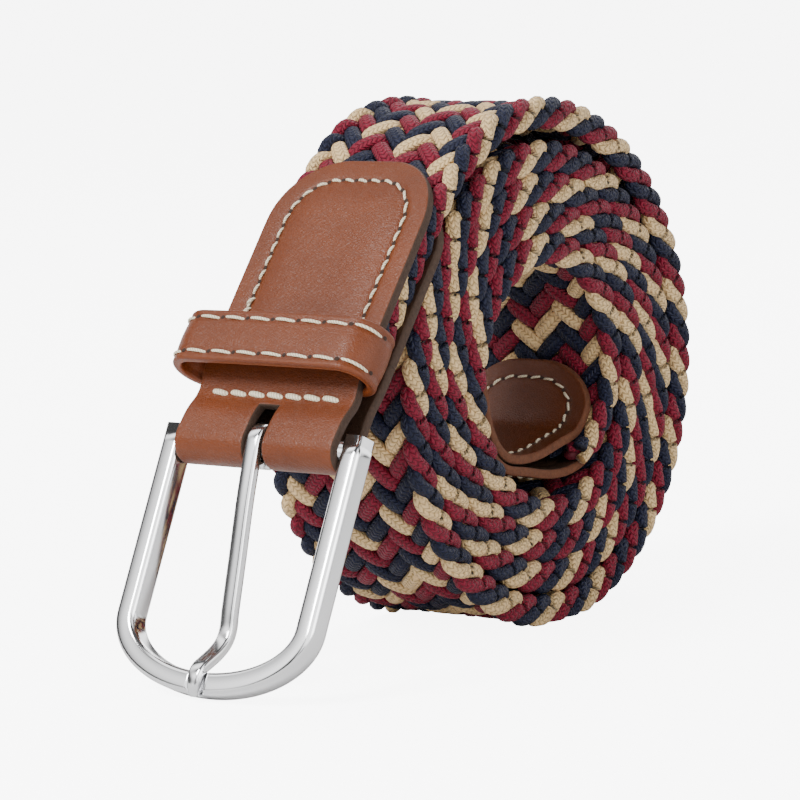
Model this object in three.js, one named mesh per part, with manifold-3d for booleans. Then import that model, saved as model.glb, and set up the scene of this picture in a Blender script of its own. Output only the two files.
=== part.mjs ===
// An elastic stretch belt, coiled up and standing on its outer turn, with the buckle hanging in front.
// Millimetres, +Z up. X runs along the coil's axis and -Y points towards the buckle.
// The origin is the middle of the flat patch on which the coil rests.
import * as THREE from 'three';
import { mergeVertices } from 'three/addons/utils/BufferGeometryUtils.js';
import Module from 'manifold-3d';

const wasm = await Module();
wasm.setup();

// Driving dimensions
const fitGap = 0.3;

const bandWidth = 35;
const bandThickness = 4.4;
const bandSewnThickness = 3.4;

const coilPitch = 5.4;
const coilTurnsAngle = 1538;
const coilStartAngle = -40;
const coilInnerRadius = 20.5;
const coilCentreY = 1.6;
const coilWidthShare = 0.97;
const coilHeightShare = 1.02;
const coilDrift = 0.5;
const tipRoom = 1.9;
const tipRoomTurns = 0.36;
const outerLift = 2.4;
const outerLiftTurns = [3.6, 4.36];
const tabDent = 1.8;
const tabDentAngle = 145;
const tabDentSpread = 30;
const restFlat = 0.2;
const restPatch = 5.8;

const tabLeather = 2;
const tabWidth = bandWidth;
const tabFrontLength = 56;
const tabBackLength = 53;
const tabCornerRadius = 13;
const tabCoilGap = 0.6;
const bandEndFromBar = 22;
const sewnBlend = 9;

const tipLeather = 1.8;
const tipLength = 66;
const tipWidth = 29;
const tipCornerRadius = 12;
const tipBandOverlap = 20;
const tipCloseLength = 16;

const keeperLeather = 1.7;
const keeperWidth = 10;
const keeperFromBar = 15.5;
const keeperClear = 4.7;
const keeperSideRoom = 0.9;

const barDiameter = 3.5;
const barForward = 60.3;
const frameHang = 62.7;
const rodWidth = 4;
const rodDepth = 4.5;
const rodChamfer = 0.8;
const frameReach = 44.5;
const frameArcLength = 13;
const legPastBar = 2.5;
const notchDepth = 1.2;

const prongWidth = 3;
const prongThickness = 2;
const prongCurlAngle = 262;
const prongSag = 2.5;
const slotFromBar = 6.3;
const slotSideRoom = 0.6;

// The inner half turn, where the leather tip lies: places on its middle line, as shares of the coil's inner radius
const tipPlaces = [
  { y: -0.70, z: 0.40 },
  { y: -0.83, z: 0.05 },
  { y: -0.80, z: -0.37 },
  { y: -0.58, z: -0.68 },
  { y: -0.17, z: -0.78 },
  { y: 0.20, z: -0.79 },
  { y: 0.61, z: -0.71 },
];
const tipPlacesEndAngle = -30;

// Colours and finishes
const bandMaterial = new THREE.MeshStandardMaterial({ color: 0x5a2a3c, roughness: 0.85, metalness: 0 });
const leatherMaterial = new THREE.MeshStandardMaterial({ color: 0x8f4f2e, roughness: 0.5, metalness: 0 });
const tipMaterial = new THREE.MeshStandardMaterial({ color: 0x7a4026, roughness: 0.55, metalness: 0 });
const metalMaterial = new THREE.MeshStandardMaterial({ color: 0xd5d6d8, roughness: 0.15, metalness: 1 });

const toRadians = (degrees) => degrees * Math.PI / 180;

// Eases from 0 to 1 as share runs from 0 to 1
function ease(share) {
  const t = Math.min(Math.max(share, 0), 1);
  return t * t * (3 - 2 * t);
}

// One place on the coil's middle line, at an angle counted on through the turns
function coilPoint(angle) {
  const turns = (angle - coilStartAngle) / 360;
  const squeeze = tipRoom * (1 - ease(turns / tipRoomTurns));
  const lift = outerLift * ease((turns - outerLiftTurns[0]) / (outerLiftTurns[1] - outerLiftTurns[0]));
  const fromDent = ((angle - tabDentAngle + 180) % 360 + 360) % 360 - 180;
  const outerTurns = (coilTurnsAngle - coilStartAngle) / 360 - 0.9;
  const dent = tabDent * Math.exp(-((fromDent / tabDentSpread) ** 2)) * (turns / outerTurns) ** 2.5;
  const radius = coilInnerRadius + coilPitch * turns - squeeze + lift - dent;
  const a = toRadians(angle);
  const y = coilCentreY - coilDrift * turns + coilWidthShare * radius * Math.cos(a);
  return new THREE.Vector3(0, y, coilHeightShare * radius * Math.sin(a));
}

// The level on which the coil stands: a little above its lowest point, where the band is pressed flat
function floorLevel() {
  let lowest = 0;
  for (let angle = coilTurnsAngle - 360; angle < coilTurnsAngle; angle += 1) {
    lowest = Math.min(lowest, coilPoint(angle).z);
  }
  return lowest - bandThickness / 2 + restFlat;
}

// The buckle's bar lies so high that the frame, hanging forward, just reaches the floor with its back edge
function barPlaceAbove(floor) {
  const hang = toRadians(frameHang);
  const backEdge = rodDepth / 2 - rodChamfer;
  return { y: -barForward, z: floor + frameReach * Math.sin(hang) + backEdge * Math.cos(hang) };
}

// How far the tab's middle line lies from the coil's axis, where its back layer rests on the turn below
function tabDistance() {
  const angleBelow = coilTurnsAngle - (coilTurnsAngle - tabDentAngle) % 360;
  const layers = bandThickness / 2 + tabCoilGap + tabLeather + fitGap + bandSewnThickness / 2;
  return coilPoint(angleBelow).length() + layers;
}

const floor = floorLevel();
const barPlace = barPlaceAbove(floor);

// The straight line from the coil to the buckle bar, which touches a circle of tabDistance round the coil's axis
function tabLine() {
  const tabLineDistance = tabDistance();
  const barReach = Math.hypot(barPlace.y, barPlace.z);
  const barAngle = Math.atan2(barPlace.z, barPlace.y) + 2 * Math.PI;
  const normalAngle = barAngle - Math.acos(tabLineDistance / barReach);
  const normal = new THREE.Vector3(0, Math.cos(normalAngle), Math.sin(normalAngle));
  const along = new THREE.Vector3(0, -normal.z, normal.y);
  return { normal, along, foot: normal.clone().multiplyScalar(tabLineDistance) };
}

// The belt's middle line as closely spaced points: leather tip, turns of the coil, then the line to the bar
function beltPoints() {
  const points = tipPlaces.map((p) => new THREE.Vector3(0, p.y * coilInnerRadius, p.z * coilInnerRadius));
  for (let angle = tipPlacesEndAngle; angle < coilTurnsAngle; angle += 8) points.push(coilPoint(angle));
  const last = coilPoint(coilTurnsAngle);
  const heading = last.clone().sub(coilPoint(coilTurnsAngle - 1)).normalize();
  const { along, foot } = tabLine();
  const handle = last.distanceTo(foot) / 3;
  const bend = new THREE.CubicBezierCurve3(
    last,
    last.clone().addScaledVector(heading, handle),
    foot.clone().addScaledVector(along, -handle),
    foot,
  );
  points.push(...bend.getPoints(8));
  const bar = new THREE.Vector3(0, barPlace.y, barPlace.z);
  for (let step = 1; step <= 10; step += 1) points.push(foot.clone().lerp(bar, step / 10));
  const curve = new THREE.CatmullRomCurve3(points, false, 'centripetal');
  return curve.getPoints(points.length * 8);
}

// A route measured by length: at(s) gives the place, and the outward normal across the band's face
function makeRoute(points) {
  const lengths = [0];
  for (let i = 1; i < points.length; i += 1) lengths.push(lengths[i - 1] + points[i].distanceTo(points[i - 1]));
  const length = lengths[lengths.length - 1];
  function place(s) {
    let low = 0;
    let high = lengths.length - 1;
    while (high - low > 1) {
      const middle = (low + high) >> 1;
      if (lengths[middle] <= s) low = middle;
      else high = middle;
    }
    const share = (s - lengths[low]) / (lengths[high] - lengths[low]);
    return points[low].clone().lerp(points[high], share);
  }
  function at(s) {
    const heading = place(Math.min(s + 0.8, length)).sub(place(Math.max(s - 0.8, 0))).normalize();
    return { centre: place(s), normal: new THREE.Vector3(0, heading.z, -heading.y) };
  }
  return { length, at };
}

// Joins rings of points into one closed body, capped at both ends or closed on itself
function loft(rings, closedLoop = false) {
  const sides = rings[0].length;
  const positions = rings.flat().flatMap((p) => [p.x, p.y, p.z]);
  const faces = [];
  const spans = closedLoop ? rings.length : rings.length - 1;
  for (let i = 0; i < spans; i += 1) {
    const next = (i + 1) % rings.length;
    for (let j = 0; j < sides; j += 1) {
      const k = (j + 1) % sides;
      faces.push([i * sides + j, next * sides + j, i * sides + k]);
      faces.push([i * sides + k, next * sides + j, next * sides + k]);
    }
  }
  if (!closedLoop) {
    const end = (rings.length - 1) * sides;
    for (let j = 1; j < sides - 1; j += 1) {
      faces.push([0, j, j + 1]);
      faces.push([end, end + j + 1, end + j]);
    }
  }
  const corner = (index) => new THREE.Vector3().fromArray(positions, index * 3);
  const volume = faces.reduce((sum, [a, b, c]) => sum + corner(a).dot(corner(b).cross(corner(c))), 0);
  const outward = volume > 0 ? faces : faces.map(([a, b, c]) => [a, c, b]);
  const geometry = new THREE.BufferGeometry();
  geometry.setAttribute('position', new THREE.Float32BufferAttribute(positions, 3));
  geometry.setIndex(outward.flat());
  geometry.computeVertexNormals();
  return geometry;
}

// A ring across a strip: a flat rectangle standing on the strip's middle line
function stripRing(centre, normal, halfWidth, thickness) {
  const corners = [[-1, 1], [1, 1], [1, -1], [-1, -1]];
  return corners.map(([side, face]) => new THREE.Vector3(
    side * halfWidth,
    centre.y + face * normal.y * thickness / 2,
    centre.z + face * normal.z * thickness / 2,
  ));
}

// Half the width of a strip near its rounded end, at a distance from that end
function roundedHalfWidth(fullWidth, cornerRadius, fromEnd) {
  const inside = Math.max(cornerRadius - Math.max(fromEnd, 0), 0);
  return fullWidth / 2 - cornerRadius + Math.sqrt(cornerRadius ** 2 - inside ** 2);
}

// Distances from 0 to length, close together over the rounded end and then evenly spaced
function stationsFromEnd(length, cornerRadius, step) {
  const stations = [];
  const cornerSteps = 7;
  for (let k = 0; k <= cornerSteps; k += 1) {
    stations.push(cornerRadius * (1 - Math.cos(k / cornerSteps * Math.PI / 2)));
  }
  const evenSteps = Math.ceil((length - cornerRadius) / step);
  for (let k = 1; k <= evenSteps; k += 1) stations.push(cornerRadius + (length - cornerRadius) * k / evenSteps);
  return stations;
}

// Manifold solids, for the joins and cuts
function toSolid(geometry) {
  const bare = new THREE.BufferGeometry();
  bare.setAttribute('position', geometry.getAttribute('position').clone());
  if (geometry.index) bare.setIndex(geometry.index.clone());
  const merged = mergeVertices(bare, 1e-4);
  return new wasm.Manifold(new wasm.Mesh({
    numProp: 3,
    vertProperties: new Float32Array(merged.getAttribute('position').array),
    triVerts: new Uint32Array(merged.index.array),
  }));
}

function toGeometry(solid) {
  const mesh = solid.getMesh();
  const geometry = new THREE.BufferGeometry();
  geometry.setAttribute('position', new THREE.BufferAttribute(new Float32Array(mesh.vertProperties), 3));
  geometry.setIndex(new THREE.BufferAttribute(new Uint32Array(mesh.triVerts), 1));
  geometry.computeVertexNormals();
  return geometry;
}

const route = makeRoute(beltPoints());
const bandStart = tipLength - tipBandOverlap;
const bandEnd = route.length - bandEndFromBar;

// The band is squeezed where it is sewn between leather layers
function bandThicknessAt(s) {
  const fromTip = ease((s - tipLength) / sewnBlend);
  const fromTab = ease((route.length - s - tabFrontLength) / sewnBlend);
  return bandSewnThickness + (bandThickness - bandSewnThickness) * Math.min(fromTip, fromTab);
}

// A ring of the band: flat faces and half-round edges
function bandRing(s) {
  const { centre, normal } = route.at(s);
  const radius = bandThicknessAt(s) / 2;
  const edgeCentre = bandWidth / 2 - radius;
  const edgeSteps = 5;
  const ring = [];
  for (const side of [1, -1]) {
    for (let k = 0; k <= edgeSteps; k += 1) {
      const a = (k / edgeSteps - 0.5) * Math.PI;
      const across = side * (edgeCentre + radius * Math.cos(a));
      const out = -side * radius * Math.sin(a);
      ring.push(new THREE.Vector3(across, centre.y + normal.y * out, centre.z + normal.z * out));
    }
  }
  return ring;
}

// The length along the belt at which it lies lowest
function lowestLength() {
  let lowest = 0;
  for (let s = 0; s < route.length; s += 0.5) {
    if (route.at(s).centre.z < route.at(lowest).centre.z) lowest = s;
  }
  return lowest;
}

// Rings along the band, closer together in the tight bend at the tip, with a flat patch between two at the bottom
function bandRings() {
  const patchStart = lowestLength() - restPatch / 2;
  const stretches = [
    { from: bandStart, to: tipLength, step: 2.4 },
    { from: tipLength, to: patchStart, step: 5.9 },
    { from: patchStart, to: patchStart + restPatch, step: restPatch },
    { from: patchStart + restPatch, to: bandEnd, step: 5.9 },
  ];
  const rings = [bandRing(bandStart)];
  for (const { from, to, step } of stretches) {
    const spans = Math.round((to - from) / step);
    for (let i = 1; i <= spans; i += 1) rings.push(bandRing(from + (to - from) * i / spans));
  }
  return rings;
}

// Presses the band flat on the floor, and gives the middle of the flat patch
function pressOnFloor(rings) {
  const pressed = [];
  for (const point of rings.flat()) {
    if (point.z < floor) {
      point.z = floor;
      pressed.push(point.y);
    }
  }
  return (Math.min(...pressed) + Math.max(...pressed)) / 2;
}

const braidRings = bandRings();
const patchMiddle = pressOnFloor(braidRings);

// One leather layer of the tip, inside the band (side -1) or outside it (side 1), with both ends rounded
function tipLayer(side) {
  const near = stationsFromEnd(tipLength / 2, tipCornerRadius, 2.4);
  const stations = near.concat(near.slice(0, -1).reverse().map((s) => tipLength - s));
  const closed = (fitGap + tipLeather) / 2;
  const open = bandSewnThickness / 2 + fitGap + tipLeather / 2;
  const rings = stations.map((s) => {
    const { centre, normal } = route.at(s);
    const apart = closed + (open - closed) * ease((s - bandStart + tipCloseLength + 1) / tipCloseLength);
    const halfWidth = roundedHalfWidth(tipWidth, tipCornerRadius, Math.min(s, tipLength - s));
    return stripRing(centre.addScaledVector(normal, side * apart), normal, halfWidth, tipLeather);
  });
  return loft(rings);
}

// The tab: one strip from its rounded front end, down round the bar and up behind the band
function buckleTab() {
  const apart = barDiameter / 2 + fitGap + tabLeather / 2;
  const sewnApart = bandSewnThickness / 2 + fitGap + tabLeather / 2;
  const apartAt = (fromBar) => apart + (sewnApart - apart) * ease(fromBar / keeperFromBar);
  const rings = [];
  for (const fromEnd of stationsFromEnd(tabFrontLength, tabCornerRadius, 3)) {
    const fromBar = tabFrontLength - fromEnd;
    const { centre, normal } = route.at(route.length - fromBar);
    const halfWidth = roundedHalfWidth(tabWidth, tabCornerRadius, fromEnd);
    rings.push(stripRing(centre.addScaledVector(normal, apartAt(fromBar)), normal, halfWidth, tabLeather));
  }
  const bar = new THREE.Vector3(0, barPlace.y, barPlace.z);
  const { normal: outward } = route.at(route.length);
  const axis = new THREE.Vector3(1, 0, 0);
  const rollSteps = 12;
  for (let k = 1; k < rollSteps; k += 1) {
    const normal = outward.clone().applyAxisAngle(axis, k / rollSteps * Math.PI);
    rings.push(stripRing(bar.clone().addScaledVector(normal, apart), normal, tabWidth / 2, tabLeather));
  }
  for (const fromEnd of stationsFromEnd(tabBackLength, tabCornerRadius, 3).reverse()) {
    const fromBar = tabBackLength - fromEnd;
    const { centre, normal } = route.at(route.length - fromBar);
    const halfWidth = roundedHalfWidth(tabWidth, tabCornerRadius, fromEnd);
    normal.negate();
    rings.push(stripRing(centre.addScaledVector(normal, apartAt(fromBar)), normal, halfWidth, tabLeather));
  }
  const slotLength = slotFromBar * 2;
  const slot = new THREE.BoxGeometry(prongWidth + 2 * slotSideRoom, slotLength, 4 * apart);
  slot.rotateX(Math.atan2(outward.z, outward.y) - Math.PI / 2);
  slot.translate(0, barPlace.y, barPlace.z);
  return toGeometry(toSolid(loft(rings)).subtract(toSolid(slot)));
}

// The keeper: a closed leather band round the tab's front layer, its back run behind that layer
function keeper() {
  const { centre, normal } = route.at(route.length - keeperFromBar);
  const along = new THREE.Vector3(0, -normal.z, normal.y);
  const layerInside = bandSewnThickness / 2 + fitGap;
  const backRun = layerInside - fitGap - keeperLeather / 2;
  const frontRun = layerInside + tabLeather + keeperClear + keeperLeather / 2;
  const sideRadius = (frontRun - backRun) / 2;
  const straightHalf = tabWidth / 2 + keeperSideRoom + keeperLeather / 2 - sideRadius
    + (sideRadius - Math.sqrt(sideRadius ** 2 - (sideRadius - keeperLeather / 2 - fitGap) ** 2));
  const sideSteps = 10;
  const rings = [];
  for (const side of [1, -1]) {
    for (let k = 0; k <= sideSteps; k += 1) {
      const a = (k / sideSteps - 0.5) * Math.PI;
      const out = new THREE.Vector3(side * Math.cos(a), 0, 0).addScaledVector(normal, side * Math.sin(a));
      const place = centre.clone().addScaledVector(normal, (backRun + frontRun) / 2);
      place.x = side * straightHalf;
      place.addScaledVector(out, sideRadius);
      rings.push([[-1, 1], [1, 1], [1, -1], [-1, -1]].map(([end, face]) => place.clone()
        .addScaledVector(along, end * keeperWidth / 2)
        .addScaledVector(out, face * keeperLeather / 2)));
    }
  }
  return loft(rings, true);
}

// Buckle pieces are drawn with the bar's centre as origin, the front face up (+Z) and the round end at -Y
const frameHalfWidth = tabWidth / 2 + fitGap + rodWidth / 2;

// A ring of the frame's rod: a rectangle with its corners taken off
function rodRing(centre, out) {
  const w = rodWidth / 2;
  const d = rodDepth / 2;
  const c = rodChamfer;
  const corners = [[w, d - c], [w - c, d], [c - w, d], [-w, d - c], [-w, c - d], [c - w, -d], [w - c, -d], [w, c - d]];
  return corners.map(([across, up]) => centre.clone().addScaledVector(out, across).setZ(up));
}

function buckleFrame() {
  const straightEnd = -(frameReach - frameArcLength);
  const arcHeight = frameArcLength - rodWidth / 2;
  const rings = [];
  const straightSteps = 3;
  const arcSteps = 26;
  for (let k = 0; k < straightSteps; k += 1) {
    const y = legPastBar + (straightEnd - legPastBar) * k / straightSteps;
    rings.push(rodRing(new THREE.Vector3(-frameHalfWidth, y, 0), new THREE.Vector3(-1, 0, 0)));
  }
  for (let k = 0; k <= arcSteps; k += 1) {
    const a = Math.PI + k / arcSteps * Math.PI;
    const x = frameHalfWidth * Math.cos(a);
    const y = straightEnd + arcHeight * Math.sin(a);
    const out = new THREE.Vector3(Math.cos(a) / frameHalfWidth, Math.sin(a) / arcHeight, 0).normalize();
    rings.push(rodRing(new THREE.Vector3(x, y, 0), out));
  }
  for (let k = straightSteps - 1; k >= 0; k -= 1) {
    const y = legPastBar + (straightEnd - legPastBar) * k / straightSteps;
    rings.push(rodRing(new THREE.Vector3(frameHalfWidth, y, 0), new THREE.Vector3(1, 0, 0)));
  }
  const bar = new THREE.CylinderGeometry(barDiameter / 2, barDiameter / 2, 2 * frameHalfWidth, 12);
  bar.rotateZ(Math.PI / 2);
  const notch = new THREE.BoxGeometry(prongWidth + 2 * slotSideRoom, 3 * rodWidth, 2 * notchDepth);
  notch.translate(0, rodWidth / 2 - frameReach, rodDepth / 2);
  return toGeometry(toSolid(loft(rings)).add(toSolid(bar)).subtract(toSolid(notch)));
}

// The prong: a flat bar curled round the buckle's bar, its shank sagging behind the frame's front,
// its end bent forward so that the point lies in the notch
function prong() {
  const curl = barDiameter / 2 + fitGap + prongThickness / 2;
  const inNotch = rodDepth / 2 - notchDepth + fitGap + prongThickness / 2;
  const path = [];
  const curlSteps = 20;
  for (let k = 0; k <= curlSteps; k += 1) {
    const a = toRadians(prongCurlAngle * (1 - k / curlSteps));
    path.push({ y: curl * Math.sin(a), z: curl * Math.cos(a), width: 1, thickness: 1 });
  }
  const shank = [
    { reach: 0.20, z: curl - (curl + prongSag) * 0.20, width: 1, thickness: 1 },
    { reach: 0.45, z: curl - (curl + prongSag) * 0.58, width: 1, thickness: 1 },
    { reach: 0.65, z: curl - (curl + prongSag) * 0.88, width: 1, thickness: 1 },
    { reach: 0.72, z: -prongSag, width: 1, thickness: 1 },
    { reach: 0.77, z: -0.9 * prongSag, width: 1, thickness: 1 },
    { reach: 0.82, z: -0.4 * prongSag, width: 1, thickness: 1 },
    { reach: 0.87, z: 0.4 * inNotch, width: 1, thickness: 1 },
    { reach: 0.90, z: 0.9 * inNotch, width: 1, thickness: 0.95 },
    { reach: 0.93, z: 1.08 * inNotch, width: 0.9, thickness: 0.9 },
    { reach: 0.97, z: inNotch, width: 0.75, thickness: 0.75 },
    { reach: 1.01, z: inNotch - 0.3 * prongThickness, width: 0.4, thickness: 0.4 },
  ];
  for (const row of shank) path.push({ ...row, y: -row.reach * frameReach });
  const rings = path.map((p, i) => {
    const before = path[Math.max(i - 1, 0)];
    const after = path[Math.min(i + 1, path.length - 1)];
    const heading = new THREE.Vector3(0, after.y - before.y, after.z - before.z).normalize();
    const normal = new THREE.Vector3(0, heading.z, -heading.y);
    return stripRing(p, normal, p.width * prongWidth / 2, p.thickness * prongThickness);
  });
  return loft(rings);
}

const belt = new THREE.Group();
belt.position.set(0, -patchMiddle, -floor);

function addPiece(group, name, geometry, material) {
  const mesh = new THREE.Mesh(geometry, material);
  mesh.name = name;
  group.add(mesh);
}

addPiece(belt, 'braid', loft(braidRings), bandMaterial);
addPiece(belt, 'tip_inner', tipLayer(-1), tipMaterial);
addPiece(belt, 'tip_outer', tipLayer(1), tipMaterial);
addPiece(belt, 'buckle_tab', buckleTab(), leatherMaterial);
addPiece(belt, 'keeper', keeper(), leatherMaterial);

const buckle = new THREE.Group();
buckle.position.set(0, barPlace.y, barPlace.z);
buckle.rotation.x = toRadians(frameHang);
addPiece(buckle, 'buckle_frame', buckleFrame(), metalMaterial);
addPiece(buckle, 'prong', prong(), metalMaterial);
belt.add(buckle);

const model = new THREE.Group();
model.add(belt);

export default model;
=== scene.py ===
import math
import bpy
import mathutils
import numpy as np
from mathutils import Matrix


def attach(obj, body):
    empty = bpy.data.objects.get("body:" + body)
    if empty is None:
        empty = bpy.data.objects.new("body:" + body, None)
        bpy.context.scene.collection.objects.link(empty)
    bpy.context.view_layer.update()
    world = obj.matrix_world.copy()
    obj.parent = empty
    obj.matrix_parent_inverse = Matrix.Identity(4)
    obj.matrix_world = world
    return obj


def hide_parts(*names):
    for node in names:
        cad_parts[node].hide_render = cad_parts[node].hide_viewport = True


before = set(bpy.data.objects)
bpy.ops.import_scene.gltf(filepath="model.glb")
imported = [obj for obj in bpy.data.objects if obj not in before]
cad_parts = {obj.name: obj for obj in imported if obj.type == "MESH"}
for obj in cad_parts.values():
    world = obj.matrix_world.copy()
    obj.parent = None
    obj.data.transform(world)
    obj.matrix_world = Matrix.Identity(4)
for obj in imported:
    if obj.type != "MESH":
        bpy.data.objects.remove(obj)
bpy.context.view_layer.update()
mm = 0.001

# the belt's middle line, in millimetres about the coil's axis (y, z); the same sizes as the solids
belt = {
    "thickness": 4.4, "sewnThickness": 3.4, "fitGap": 0.3,
    "pitch": 5.4, "startAngle": -40.0, "endAngle": 1538.0, "innerRadius": 20.5,
    "centreY": 1.6, "widthShare": 0.97, "heightShare": 1.02, "drift": 0.5,
    "tipRoom": 1.9, "tipRoomTurns": 0.36, "lift": 2.4, "liftTurns": (3.6, 4.36),
    "dent": 1.8, "dentAngle": 145.0, "dentSpread": 30.0, "tabCoilGap": 0.6,
    "bar": (-60.3, -4.6656), "tipLength": 66.0, "tipOverlap": 20.0,
    "bandEndFromBar": 22.0, "sewnBlend": 9.0, "tabFront": 56.0, "tabBack": 53.0,
    "tabLeather": 2.0, "tabApart": 3.05, "tipApart": 1.05, "tipOpens": 1.85,
    "tipPlaces": ((-0.70, 0.40), (-0.83, 0.05), (-0.80, -0.37), (-0.58, -0.68),
                  (-0.17, -0.78), (0.20, -0.79), (0.61, -0.71)),
    "axis": (-1.009, 44.874),
}


# a soft step from 0 to 1: 3t^2 - 2t^3
def ease(t):
    t = np.clip(t, 0.0, 1.0)
    return t * t * (3.0 - 2.0 * t)


# the coil: an oval spiral r = r0 + pitch * turns, lifted on its last turn and dented under the tab
def coilPoints(angle):
    b = belt
    angle = np.asarray(angle, float)
    turns = (angle - b["startAngle"]) / 360.0
    squeeze = b["tipRoom"] * (1.0 - ease(turns / b["tipRoomTurns"]))
    low, high = b["liftTurns"]
    lift = b["lift"] * ease((turns - low) / (high - low))
    fromDent = (angle - b["dentAngle"] + 180.0) % 360.0 - 180.0
    outerTurns = (b["endAngle"] - b["startAngle"]) / 360.0 - 0.9
    shape = np.exp(-(fromDent / b["dentSpread"]) ** 2)
    dent = b["dent"] * shape * (np.maximum(turns, 0.0) / outerTurns) ** 2.5
    radius = b["innerRadius"] + b["pitch"] * turns - squeeze + lift - dent
    a = np.radians(angle)
    y = b["centreY"] - b["drift"] * turns + b["widthShare"] * radius * np.cos(a)
    return np.stack([y, b["heightShare"] * radius * np.sin(a)], -1)


# a centripetal Catmull-Rom curve through all the places, with equal steps in each span
def smoothThrough(places, steps=8):
    p = np.vstack([2 * places[0] - places[1], places, 2 * places[-1] - places[-2]])
    gap = np.maximum(np.linalg.norm(np.diff(p, axis=0), axis=1) ** 0.5, 1e-6)
    knot = np.concatenate([[0.0], np.cumsum(gap)])
    p0, p1, p2, p3 = p[:-3, None], p[1:-2, None], p[2:-1, None], p[3:, None]
    k0, k1, k2, k3 = (knot[i:len(knot) - 3 + i, None, None] for i in range(4))
    share = (np.arange(steps) / steps)[None, :, None]
    k = k1 + (k2 - k1) * share
    a1 = (k1 - k) / (k1 - k0) * p0 + (k - k0) / (k1 - k0) * p1
    a2 = (k2 - k) / (k2 - k1) * p1 + (k - k1) / (k2 - k1) * p2
    a3 = (k3 - k) / (k3 - k2) * p2 + (k - k2) / (k3 - k2) * p3
    b1 = (k2 - k) / (k2 - k0) * a1 + (k - k0) / (k2 - k0) * a2
    b2 = (k3 - k) / (k3 - k1) * a2 + (k - k1) / (k3 - k1) * a3
    curve = (k2 - k) / (k2 - k1) * b1 + (k - k1) / (k2 - k1) * b2
    return np.vstack([curve.reshape(-1, places.shape[1]), places[-1:]])


# tip places, then the turns, then a cubic bend on to the straight line that runs to the bar
def beltPlaces():
    b = belt
    tip = np.array(b["tipPlaces"]) * b["innerRadius"]
    turns = coilPoints(np.arange(-30.0, b["endAngle"], 8.0))
    last = coilPoints([b["endAngle"]])[0]
    heading = last - coilPoints([b["endAngle"] - 1.0])[0]
    heading = heading / np.linalg.norm(heading)
    below = coilPoints([b["endAngle"] - (b["endAngle"] - b["dentAngle"]) % 360.0])[0]
    layers = b["thickness"] / 2 + b["tabCoilGap"] + b["tabLeather"] + b["fitGap"] + b["sewnThickness"] / 2
    distance = np.linalg.norm(below) + layers
    bar = np.array(b["bar"])
    normalAngle = math.atan2(bar[1], bar[0]) + 2 * math.pi - math.acos(distance / np.linalg.norm(bar))
    normal = np.array([math.cos(normalAngle), math.sin(normalAngle)])
    along = np.array([-normal[1], normal[0]])
    foot = normal * distance
    handle = np.linalg.norm(last - foot) / 3.0
    t = np.linspace(0.0, 1.0, 9)[:, None]
    near, far = last + heading * handle, foot - along * handle
    bend = (1 - t) ** 3 * last + 3 * (1 - t) ** 2 * t * near + 3 * (1 - t) * t * t * far + t ** 3 * foot
    line = foot + (bar - foot) * (np.arange(1, 11) / 10.0)[:, None]
    return np.vstack([tip, turns, bend, line])


route = smoothThrough(beltPlaces())
routeLength = np.concatenate([[0.0], np.cumsum(np.linalg.norm(np.diff(route, axis=0), axis=1))])
beltLength = float(routeLength[-1])
axisY, axisZ = belt["axis"]


# places and outward normals at lengths along the belt; outward is the heading turned clockwise
def onBelt(s):
    s = np.asarray(s, float)

    def at(d):
        d = np.clip(d, 0.0, beltLength)
        return np.stack([np.interp(d, routeLength, route[:, 0]), np.interp(d, routeLength, route[:, 1])], -1)

    heading = at(s + 0.8) - at(s - 0.8)
    heading /= np.linalg.norm(heading, axis=-1, keepdims=True)
    return at(s), np.stack([heading[..., 1], -heading[..., 0]], -1)


# the band is thinner where leather holds it
def bandThickness(s):
    fromTip = ease((s - belt["tipLength"]) / belt["sewnBlend"])
    fromTab = ease((beltLength - s - belt["tabFront"]) / belt["sewnBlend"])
    thin, full = belt["sewnThickness"], belt["thickness"]
    return thin + (full - thin) * np.minimum(fromTip, fromTab)


# x across and (y, z) about the coil's axis become metres in the row
def toRow(x, yz):
    x = np.broadcast_to(x, yz.shape[:-1])
    return np.stack([x, yz[..., 0] + axisY, yz[..., 1] + axisZ], -1) * mm


# a mesh from its corners and faces, given as one flat list of corner numbers and the faces' sizes
def meshPiece(name, verts, corners, sizes, loopUvs=None, masks=None):
    sizes = np.asarray(sizes, np.int32)
    mesh = bpy.data.meshes.new(name)
    mesh.vertices.add(len(verts))
    mesh.vertices.foreach_set("co", verts.astype(np.float32).ravel())
    mesh.loops.add(len(corners))
    mesh.loops.foreach_set("vertex_index", corners.astype(np.int32))
    mesh.polygons.add(len(sizes))
    mesh.polygons.foreach_set("loop_start", np.concatenate([[0], np.cumsum(sizes)[:-1]]).astype(np.int32))
    mesh.polygons.foreach_set("loop_total", sizes)
    mesh.update(calc_edges=True)
    mesh.shade_smooth()
    if loopUvs is not None:
        layer = mesh.uv_layers.new(name="alongCord")
        layer.data.foreach_set("uv", loopUvs.astype(np.float32).ravel())
    for maskName, values in (masks or {}).items():
        attribute = mesh.attributes.new(maskName, "FLOAT", "POINT")
        attribute.data.foreach_set("value", values.astype(np.float32))
    piece = bpy.data.objects.new(name, mesh)
    bpy.context.scene.collection.objects.link(piece)
    return piece


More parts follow.
